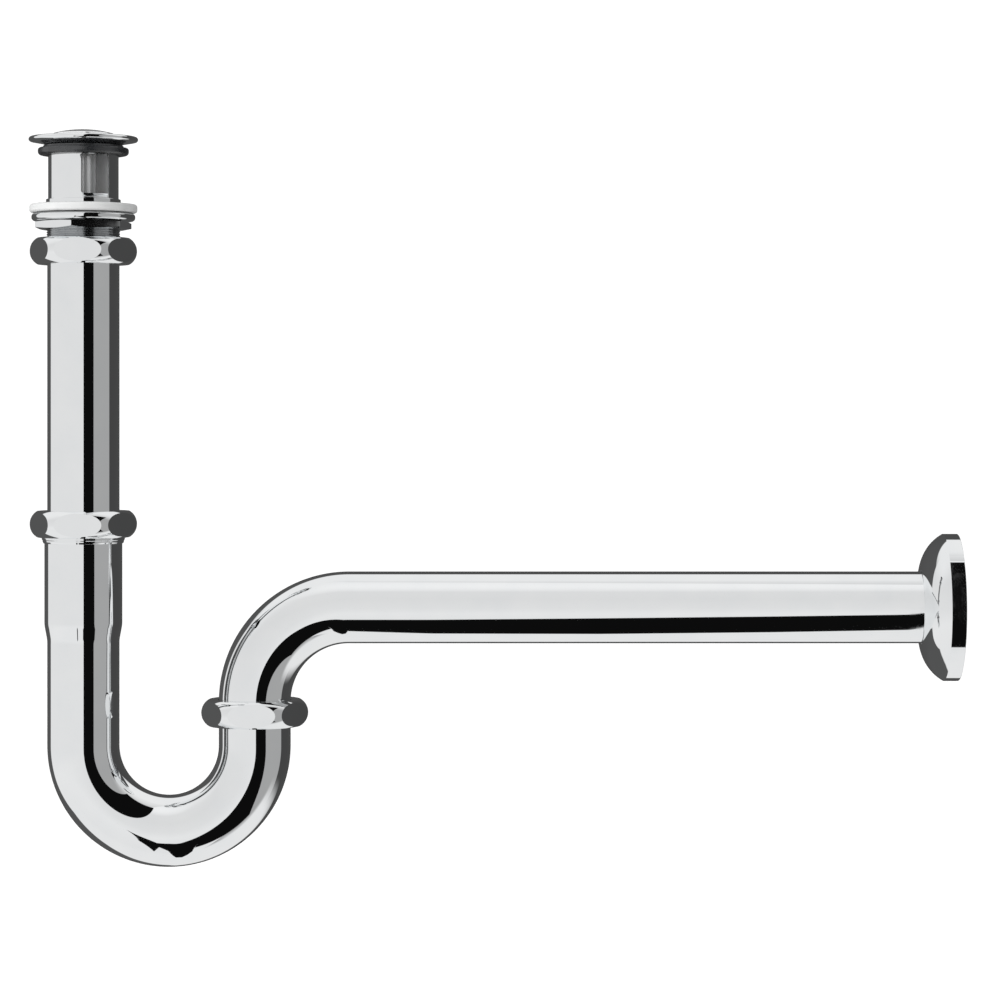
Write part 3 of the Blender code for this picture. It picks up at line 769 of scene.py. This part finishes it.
def make_rings():
    """Every plain ring and washer, and the two seals with a shape of their own."""
    for name, node, bore_r, outer_edge, bore_edge in PLAIN_RINGS:
        low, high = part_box(node)
        path = straight(((low.x + high.x) / 2, 0, 0))
        outer_r = (high.x - low.x) / 2
        outline = [
            (bore_r, high.z, bore_edge),
            (outer_r, high.z, outer_edge),
            (outer_r, low.z, outer_edge),
            (bore_r, low.z, bore_edge),
        ]
        show(swept(name, outline, path), node)

    low, high = z_range("upper_gasket")
    gasket_r, neck_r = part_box("upper_gasket")[1].x, NECK_R + GAP
    gasket = [
        (STEM_R + GAP, 0, 0.0001),
        (neck_r, 0),
        (neck_r, high, 0.0001),
        (GASKET_COLLAR_R, high, 0.0003),
        (GASKET_COLLAR_R, 0, 0.0002),
        (gasket_r, 0, GASKET_ROUNDING),
        (gasket_r, low, GASKET_ROUNDING),
        (STEM_R + GAP, low, 0.0003),
    ]
    show(swept("basin_gasket", gasket, WASTE), "upper_gasket")

    low, high = z_range("slip_seal")
    seal_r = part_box("slip_seal")[1].x
    cone = [
        (SLEEVE_R, high, SOFT_EDGE),
        (seal_r, high, SOFT_EDGE),
        (seal_r, (high + low) / 2, SOFT_EDGE),
        (BELL_R, low, SOFT_EDGE),
        (SLEEVE_R, low, SOFT_EDGE),
    ]
    show(swept("slip_cone_seal", cone, WASTE), "slip_seal")


def make_lock_nut():
    """Thin hexagon nut with its lower corners chamfered, turned from a round blank a little wider."""
    low, high = z_range("lock_nut")
    blank_r = LOCK_NUT_FLAT / math.cos(math.pi / 6) + 0.0002
    chamfer_slope = LOCK_NUT_CHAMFER / (blank_r - LOCK_NUT_FLAT + LOCK_NUT_FACE_INSET)
    outline = [
        (THREAD_SLEEVE_R, high, SOFT_EDGE),
        (LOCK_NUT_FLAT - 0.0001, high),
        (blank_r, high - LOCK_NUT_CROWN),
        (blank_r, low + LOCK_NUT_CHAMFER),
        (LOCK_NUT_FLAT, low + chamfer_slope * LOCK_NUT_FACE_INSET),
        (LOCK_NUT_FLAT - LOCK_NUT_FACE_INSET, low),
        (THREAD_SLEEVE_R, low, SOFT_EDGE),
    ]
    marks = [high - LOCK_NUT_CROWN * i / 6 for i in range(1, 6)]
    marks += [low + LOCK_NUT_CHAMFER * (i / 12) ** 2 for i in range(1, 12)]
    columns = flat_sided(LOCK_NUT_FLAT, LOCK_NUT_TURN - math.pi / 2)
    show(swept("lock_nut_hexagon", outline, WASTE, columns, marks), "lock_nut")


def nut_bulge():
    """Outline of a slip nut's outside from the top down, its rings crowded towards the flats' ends."""
    tip = math.acos((NUT_FLAT - NUT_BULGE_CENTRE_R) / NUT_BULGE_R)
    end = math.asin(NUT_HALF_H / NUT_BULGE_R)
    last = end - math.radians(2)
    angles = [tip * (1 - (1 - i / 16) ** 2) for i in range(17)]
    angles += [tip + (last - tip) * (i + 1) / 3 for i in range(3)]
    bulge = []
    for angle in angles[::-1] + [-a for a in angles[1:]]:
        r = NUT_BULGE_CENTRE_R + NUT_BULGE_R * math.cos(angle)
        bulge.append((r, NUT_BULGE_R * math.sin(angle), 0, (math.sin(angle), -math.cos(angle))))
    face_r = NUT_BULGE_CENTRE_R + NUT_BULGE_R * math.cos(end)
    return [(face_r, NUT_HALF_H, NUT_EDGE)] + bulge + [(face_r, -NUT_HALF_H, NUT_EDGE)]


def make_slip_nut(name, node, x, inside):
    """A bulged round nut cut by six flats. inside is its bore from the top down, from its middle."""
    outline = nut_bulge() + inside[::-1]
    path = straight((x, 0, middle_of(node).z))
    show(swept(name, outline, path, flat_sided(NUT_FLAT)), node)


def make_slip_nuts():
    """The coupling nut on the waste's thread, and two alike on the bell and on the rising leg."""
    seal_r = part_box("coupling_seal")[1].x + 0.0004
    sleeve_r = SLEEVE_R + 0.0001
    groove = THREAD_END_Z - middle_of("coupling_nut").z
    make_slip_nut("coupling_nut_bulged", "coupling_nut", 0, [
        (THREAD_SLEEVE_R, NUT_HALF_H, 0.0004),
        (THREAD_SLEEVE_R, groove),
        (seal_r, groove),
        (seal_r, NUT_LIP - NUT_HALF_H),
        (sleeve_r, NUT_LIP - NUT_HALF_H),
        (sleeve_r, -NUT_HALF_H, 0.0004),
    ])
    lipped = [
        (sleeve_r, NUT_HALF_H, 0.0004),
        (sleeve_r, NUT_HALF_H - NUT_LIP),
        (NUT_THREAD_R, NUT_HALF_H - NUT_LIP),
        (NUT_THREAD_R, -NUT_HALF_H, NUT_EDGE),
    ]
    make_slip_nut("slip_nut_bulged", "slip_nut", 0, lipped)
    make_slip_nut("union_nut_bulged", "union_nut", LEG_X, lipped)


def make_tubes():
    """Dip tube, U bend with its bell, and the outlet arm, each with its wall and bore."""
    low, high = z_range("dip_tube")
    dip = [
        (TUBE_BORE_R, high, TUBE_EDGE),
        (TUBE_R, high, TUBE_EDGE),
        (TUBE_R, low, TUBE_EDGE),
        (TUBE_BORE_R, low, TUBE_EDGE),
    ]
    show(swept("dip_tube_wall", dip, WASTE), "dip_tube")

    half_turn = math.pi * LEG_X / 2
    top = U_CENTRE_Z - z_range("trap_bend")[1]
    shoulder, taper = U_CENTRE_Z - BELL_END_Z, U_CENTRE_Z - TAPER_END_Z
    end = half_turn + z_range("union_ferrule")[1] - U_CENTRE_Z
    u_bend = [
        (TUBE_BORE_R, end, TUBE_EDGE),
        (TUBE_BORE_R, taper, TAPER_BLEND),
        (SLEEVE_R, shoulder, TAPER_BLEND),
        (SLEEVE_R, top, TUBE_EDGE),
        (BELL_R, top, TUBE_EDGE),
        (BELL_R, shoulder, TAPER_BLEND),
        (TUBE_R, taper, TAPER_BLEND),
        (TUBE_R, end, TUBE_EDGE),
    ]
    marks = [half_turn * i / (2 * BEND_STEPS) for i in range(2 * BEND_STEPS + 1)]
    path = bent((0, 0, U_CENTRE_Z), (0, 0, -1), [(-math.pi, LEG_X / 2), ONWARD])
    show(swept("u_bend_wall", u_bend, path, marks=marks), "trap_bend")

    quarter = math.pi / 2 * ARM_BEND_R
    start = z_range("outlet_arm")[0] - ARM_BEND_Z
    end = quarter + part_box("outlet_arm")[1].x - LEG_X - ARM_BEND_R
    arm = [
        (TUBE_BORE_R, start, TUBE_EDGE),
        (TUBE_BORE_R, end, TUBE_EDGE),
        (TUBE_R, end, TUBE_EDGE),
        (TUBE_R, start, TUBE_EDGE),
    ]
    marks = [quarter * i / BEND_STEPS for i in range(BEND_STEPS + 1)]
    path = bent((LEG_X, 0, ARM_BEND_Z), (0, 0, 1), [(math.pi / 2, ARM_BEND_R), ONWARD])
    show(swept("outlet_arm_wall", arm, path, marks=marks), "outlet_arm")


def make_bell_ferrule():
    """Threaded ring on the bell, with the stepped skirt that shows under the slip nut."""
    low, high = z_range("bell_ferrule")
    bore_r, ring_r = BELL_R + GAP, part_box("bell_ferrule")[1].x
    skirt_z = low + SKIRT_H
    bead_z = skirt_z - SKIRT_BEAD_H
    outline = [
        (bore_r, high, SOFT_EDGE),
        (ring_r, high, SOFT_EDGE),
        (ring_r, skirt_z),
        (SKIRT_R, skirt_z, 0.0001),
        (SKIRT_R, bead_z, 0.0003),
        (SKIRT_STEP_R, bead_z - 0.0003, 0.0002),
        (SKIRT_STEP_R, bead_z - 0.0010, 0.0004),
        (bore_r + 0.0002, low, 0.0001),
        (bore_r, low),
    ]
    show(swept("bell_skirt", outline, WASTE), "bell_ferrule")


def plate_arc(inset):
    """The dome's outline from the rim to the lip, that far inside its surface."""
    radius = PLATE_DOME_R - inset
    rim_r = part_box("wall_flange")[1].y
    rim_angle = math.degrees(math.acos((rim_r - inset - PLATE_DOME_CENTRE_R) / radius))
    lip_angle = math.degrees(math.acos((PLATE_LIP_R - PLATE_DOME_CENTRE_R) / radius))
    return arc(PLATE_DOME_CENTRE_R, PLATE_DOME_CENTRE, radius, rim_angle, lip_angle, 32)


def make_wall_flange():
    """Domed plate against the wall, and the rubber ring inside it that grips the arm."""
    path = straight((WALL_X, 0, ARM_Z), (-1, 0, 0), (0, 0, 1))
    rim_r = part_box("wall_flange")[1].y
    outside, inside = plate_arc(0), plate_arc(PLATE_WALL)
    front = outside[-1][1]
    outline = [(rim_r, 0, SOFT_EDGE)] + outside
    outline += [(PLATE_HOLE_R, front, 0.0006), (PLATE_HOLE_R, front - PLATE_WALL, 0.0004)]
    outline += [(r, s, 0, (-way[0], -way[1])) for r, s, _, way in inside[::-1]]
    outline.append((rim_r - PLATE_WALL, 0, SOFT_EDGE))
    show(swept("wall_plate_dome", outline, path), "wall_flange")

    radius = (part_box("flange_grip_ring")[1].y - SLEEVE_R) / 2
    centre_s = WALL_X - middle_of("flange_grip_ring").x
    o_ring = arc(SLEEVE_R + radius, centre_s, radius, 0, 345, 23)
    show(swept("grip_o_ring", o_ring, path), "flange_grip_ring")


make_waste()
make_plug()
make_cartridge()
make_rings()
make_lock_nut()
make_slip_nuts()
make_tubes()
make_bell_ferrule()
make_wall_flange()
for node in ("cartridge_spider", "cartridge_nut"):
    frame["nodes"][node].data.materials.clear()
    frame["nodes"][node].data.materials.append(LOOKS["brass"])


# ---------------------------------------------------------------- studio

# What the plating mirrors is set by direction alone. Bearing and tilt are in degrees: bearing 0 is towards
# the camera's side (-Y) and grows towards +X, and tilt turns about the X axis, with 0 towards -Y, 90
# straight up and 180 behind. Sideways and upward mean the X and Z parts of the direction.
MID, BLACK = 0.385, 0.004
MID_RIGHT, MID_END = 98, -60  # bearing of its right edge, and how far down it reaches
BACK_LEFT, BACK_RIGHT = 0.09, 0.06
PALE_LEFT = -121
PALE = (  # upward, brightness
    (-1.0, 0.80),
    (-0.3, 0.80),
    (0.0, 0.78),
    (0.5, 0.745),
    (0.8, 0.76),
    (1.0, 0.84),
)
FLAG_LEFT, FLAG_RIGHT = 0.1275, 0.637  # sideways, where the black flag's upright edges are
FLAG_END, FLAG_TOP = -62, 78
FOOT_RIGHT = FLAG_LEFT + 0.02
FLAG_FOOT = (  # sideways, and the tilt of the foot's upper and lower edge there
    (-0.24, -37, -37),
    (-0.19, -35, -42),
    (-0.14, -34, -48),
    (-0.08, -35, -61),
    (-0.045, -37, -79),
    (-0.02, -37, -90),
    (0.03, -32, -92),
    (0.08, -26, -84),
    (0.12, -20, -74),
    (0.16, -17, -66),
)
DARK_TOP = -0.30  # upward, where the dark at the lower left starts
DARK_LEFT = (  # sideways, and the Y part of the direction from which on it is dark there
    (-1.00, 0.60),
    (-0.90, 0.30),
    (-0.77, 0.28),
    (-0.63, 0.32),
    (-0.51, 0.38),
    (-0.39, 0.48),
    (-0.29, 0.58),
    (-0.09, 0.72),
    (0.00, 0.90),
)
CEILING, CEILING_TILT, CEILING_HEIGHT = 0.87, (78, 136), 0.45
FLOOR, FLOOR_TILT, FLOOR_DEPTH = 0.83, (-143, -70), 0.50
LOWEST, HIGHEST = -120, 30  # tilts that the foot's tables can hold

FLOOR_DROP = 0.30  # from the part down to the studio's floor
FLOOR_REACH = 5.5
BACKDROP_R = 8
BACKDROP_CENTRE = (0.2, 0, 0)
LAMP_SIZE = 1.6
KEY_LIGHT = ("key_light", (-1.5, -1.4, 0.5), 20)
FILL_LIGHT = ("fill_light", (1.1, -1.9, 0.1), 15)

VIEW_WIDTH = 0.531  # what the picture spans at the part's own plane
VIEW_CENTRE_Z = -0.1869
CAMERA_X = 0.2212
CAMERA_Z = -0.1418
CAMERA_DISTANCE = 1.8
SENSOR_WIDTH = 36


class Sums:
    """Short names for the world's arithmetic nodes."""

    def __init__(self, nodes, links):
        self.nodes, self.links = nodes, links

    def plug(self, value, socket):
        if isinstance(value, (int, float)):
            socket.default_value = value
        else:
            self.links.new(value, socket)

    def do(self, operation, *values):
        node = self.nodes.new("ShaderNodeMath")
        node.operation = operation
        for value, socket in zip(values, node.inputs):
            self.plug(value, socket)
        return node.outputs[0]

    def rise(self, value, at, soft):
        """0 below at and 1 above it, with a soft step between."""
        node = self.nodes.new("ShaderNodeMapRange")
        node.interpolation_type = "SMOOTHSTEP"
        self.plug(value, node.inputs["Value"])
        if isinstance(at, (int, float)):
            low, high = at - soft, at + soft
        else:
            low, high = self.do("SUBTRACT", at, soft), self.do("ADD", at, soft)
        self.plug(low, node.inputs["From Min"])
        self.plug(high, node.inputs["From Max"])
        return node.outputs["Result"]

    def fall(self, value, at, soft):
        """1 below at and 0 above it."""
        return self.do("SUBTRACT", 1.0, self.rise(value, at, soft))

    def both(self, *masks):
        """Where all of the masks are."""
        mask = masks[0]
        for other in masks[1:]:
            mask = self.do("MULTIPLY", mask, other)
        return mask

    def between(self, value, low, high, soft):
        return self.both(self.rise(value, low, soft), self.fall(value, high, soft))

    def lay(self, under, over, mask):
        """over where the mask is 1, and under elsewhere."""
        node = self.nodes.new("ShaderNodeMix")
        self.plug(mask, node.inputs["Factor"])
        self.plug(under, node.inputs["A"])
        self.plug(over, node.inputs["B"])
        return node.outputs["Result"]

    def table(self, value, rows, low, high):
        """A straight-sided curve through (value, result) rows, with results between low and high."""
        ramp = self.nodes.new("ShaderNodeValToRGB")
        first, last = rows[0][0], rows[-1][0]
        stops = ramp.color_ramp.elements
        ends = [stops[0], stops[-1]]
        for i, (at, result) in enumerate(rows):
            middle = 0 < i < len(rows) - 1
            stop = stops.new((at - first) / (last - first)) if middle else ends[i > 0]
            share = (result - low) / (high - low)
            stop.color = (share, share, share, 1)
        along = self.do("DIVIDE", self.do("SUBTRACT", value, first), last - first)
        self.links.new(along, ramp.inputs["Fac"])
        return self.do("ADD", low, self.do("MULTIPLY", ramp.outputs["Color"], high - low))


def make_studio_light():
    """Cards all round: pale in front and to the left, a black flag on the camera's right, dark behind."""
    world = bpy.data.worlds.new("studio")
    bpy.context.scene.world = world
    world.use_nodes = True
    nodes, links = world.node_tree.nodes, world.node_tree.links
    sums = Sums(nodes, links)
    place = nodes.new("ShaderNodeTexCoord")
    split = nodes.new("ShaderNodeSeparateXYZ")
    links.new(place.outputs["Generated"], split.inputs[0])
    x, y, z = split.outputs
    towards = sums.do("MULTIPLY", y, -1.0)
    bearing = sums.do("DEGREES", sums.do("ARCTAN2", x, towards))
    tilt = sums.do("DEGREES", sums.do("ARCTAN2", z, towards))
    height = sums.do("DEGREES", sums.do("ARCSINE", z))

    light = sums.lay(BACK_LEFT, BACK_RIGHT, sums.rise(x, 0.0, 1.0))
    flag_bearing = math.degrees(math.asin(FLAG_RIGHT))
    right = sums.both(
        sums.between(bearing, flag_bearing, MID_RIGHT, 1.0),
        sums.rise(height, MID_END, 2))
    light = sums.lay(light, MID, right)
    pale = sums.table(z, PALE, 0, 1)
    light = sums.lay(light, pale, sums.between(bearing, PALE_LEFT, flag_bearing, 0.8))

    first, last = CEILING_TILT
    ceiling = sums.both(
        sums.rise(tilt, first, 25),
        sums.fall(tilt, last, 1.2),
        sums.rise(z, CEILING_HEIGHT, 0.2))
    light = sums.lay(light, CEILING, ceiling)
    first, last = FLOOR_TILT
    down = sums.do("MULTIPLY", z, -1.0)
    floor = sums.both(
        sums.rise(tilt, first, 1.2),
        sums.fall(tilt, last, 8),
        sums.rise(down, FLOOR_DEPTH, 0.15))
    light = sums.lay(light, FLOOR, floor)

    edge = sums.table(x, DARK_LEFT, -1, 1)
    shade = sums.both(
        sums.rise(y, edge, 0.02),
        sums.fall(z, DARK_TOP, 0.08),
        sums.fall(x, 0.0, 0.01))
    light = sums.lay(light, BACK_LEFT, shade)

    upper = sums.table(x, [(row[0], row[1]) for row in FLAG_FOOT], LOWEST, HIGHEST)
    lower = sums.table(x, [(row[0], row[2]) for row in FLAG_FOOT], LOWEST, HIGHEST)
    foot = sums.both(
        sums.between(tilt, lower, upper, 0.6),
        sums.rise(x, FLAG_FOOT[0][0], 0.002),
        sums.fall(x, FOOT_RIGHT, 0.005))
    flag = sums.both(
        sums.between(x, FLAG_LEFT, FLAG_RIGHT, 0.002),
        sums.between(tilt, FLAG_END, FLAG_TOP, 1))
    light = sums.lay(light, BLACK, sums.do("MAXIMUM", foot, flag))

    links.new(light, nodes["Background"].inputs["Color"])
    nodes["Background"].inputs["Strength"].default_value = 1.0


def make_floor_and_backdrop():
    """A pale floor below the part and a white backdrop all round, which the plating doesn't mirror."""
    floor_z = cad_box[0].z - FLOOR_DROP
    mesh = bpy.data.meshes.new("studio_floor")
    corners = [(x * FLOOR_REACH, y * FLOOR_REACH, floor_z) for x, y in ((-1, -1), (1, -1), (1, 1), (-1, 1))]
    mesh.from_pydata(corners, [], [(0, 1, 2, 3)])
    floor = bpy.data.objects.new("studio_floor", mesh)
    bpy.context.collection.objects.link(floor)
    material, nodes, links = new_material("pale_floor")
    shader = nodes["Principled BSDF"]
    tinted(nodes, links, noise(nodes, links, 3, 2, 0, 1), (0.90, 0.90, 0.90), (0.93, 0.93, 0.93), shader)
    shader.inputs["Roughness"].default_value = 0.9
    shader.inputs["Emission Color"].default_value = (1, 1, 1, 1)
    shader.inputs["Emission Strength"].default_value = 0.55
    mesh.materials.append(material)

    bpy.ops.mesh.primitive_uv_sphere_add(
        segments=64, ring_count=32, radius=BACKDROP_R, location=BACKDROP_CENTRE)
    backdrop = bpy.context.object
    backdrop.name = "studio_backdrop"
    backdrop.data.shade_smooth()
    material, nodes, links = new_material("white_backdrop")
    nodes.remove(nodes["Principled BSDF"])
    glow = nodes.new("ShaderNodeEmission")
    glow.inputs["Strength"].default_value = 1.1
    links.new(glow.outputs[0], nodes["Material Output"].inputs["Surface"])
    backdrop.data.materials.append(material)
    for obj in (floor, backdrop):
        obj.visible_glossy = False
        obj.visible_transmission = False
    floor.visible_diffuse = False
    backdrop.visible_diffuse = False
    backdrop.visible_shadow = False


def make_soft_light(name, place, power):
    """A broad soft light aimed at the waste's gaskets, which the plating doesn't mirror."""
    data = bpy.data.lights.new(name, "AREA")
    data.shape, data.size, data.energy = "DISK", LAMP_SIZE, power
    lamp = bpy.data.objects.new(name, data)
    bpy.context.collection.objects.link(lamp)
    lamp.location = place
    aim = middle_of("lower_gasket") - Vector(place)
    lamp.rotation_euler = aim.to_track_quat("-Z", "Y").to_euler()
    lamp.visible_glossy = False
    lamp.visible_camera = False


def make_camera():
    """Level camera straight in front, far off, framed by its shift."""
    data = bpy.data.cameras.new("camera")
    camera = bpy.data.objects.new("camera", data)
    bpy.context.collection.objects.link(camera)
    camera.location = (CAMERA_X, -CAMERA_DISTANCE, CAMERA_Z)
    camera.rotation_euler = (math.pi / 2, 0, 0)
    data.sensor_width = SENSOR_WIDTH
    data.lens = SENSOR_WIDTH * CAMERA_DISTANCE / VIEW_WIDTH
    data.shift_y = (VIEW_CENTRE_Z - CAMERA_Z) / VIEW_WIDTH
    data.clip_end = 100
    bpy.context.scene.camera = camera


make_studio_light()
make_soft_light(*KEY_LIGHT)
make_soft_light(*FILL_LIGHT)
make_floor_and_backdrop()
make_camera()
bpy.context.scene.view_settings.view_transform = "Standard"
